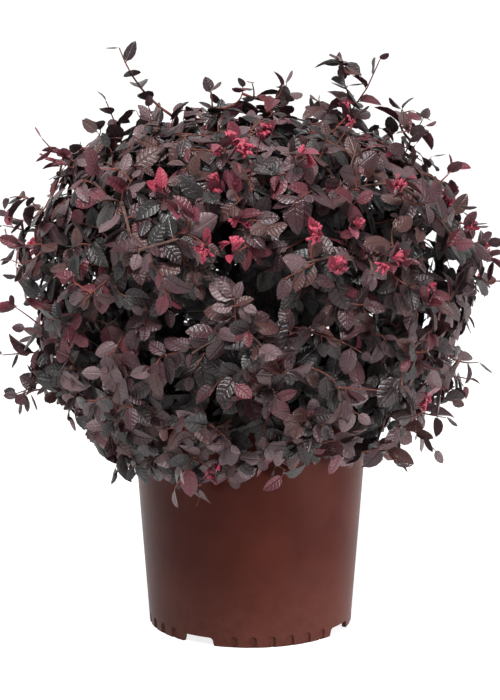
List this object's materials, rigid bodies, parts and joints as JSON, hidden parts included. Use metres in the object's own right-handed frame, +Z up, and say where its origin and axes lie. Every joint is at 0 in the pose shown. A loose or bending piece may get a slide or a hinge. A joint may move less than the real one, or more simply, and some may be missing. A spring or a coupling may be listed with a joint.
{
  "type": "potted loropetalum shrub",
  "caption": "Rounded purple-leaved evergreen shrub with pink new growth, standing in a brown plastic nursery pot.",
  "frame": {"origin": "centre of the pot's base, on the ground that the pot stands on", "axes": "+Z up, -Y the front that the picture shows, +X to the right as seen from the front"},
  "size_m": [0.5627, 0.5644, 0.6342],
  "materials": {
    "pot_plastic": "satin brown moulded polyethylene",
    "potting_mix": "dark bark and peat crumbs",
    "bark": "grey-brown bark",
    "foliage": "dark plum leaves with a soft sheen"
  },
  "bodies": {
    "root": {"pot": "pot_plastic", "soil": "potting_mix", "trunk": "bark", "bough_lower_1": "bark", "bough_lower_2": "bark", "bough_lower_3": "bark", "bough_lower_4": "bark", "bough_lower_5": "bark", "bough_lower_6": "bark", "bough_upper_1": "bark", "bough_upper_2": "bark", "bough_upper_3": "bark", "bough_upper_4": "bark", "bough_upper_5": "bark", "bough_top": "bark", "foliage_lower_1": "foliage", "foliage_lower_2": "foliage", "foliage_lower_3": "foliage", "foliage_lower_4": "foliage", "foliage_lower_5": "foliage", "foliage_lower_6": "foliage", "foliage_upper_1": "foliage", "foliage_upper_2": "foliage", "foliage_upper_3": "foliage", "foliage_upper_4": "foliage", "foliage_upper_5": "foliage", "foliage_top": "foliage"}
  },
  "joints": []
}
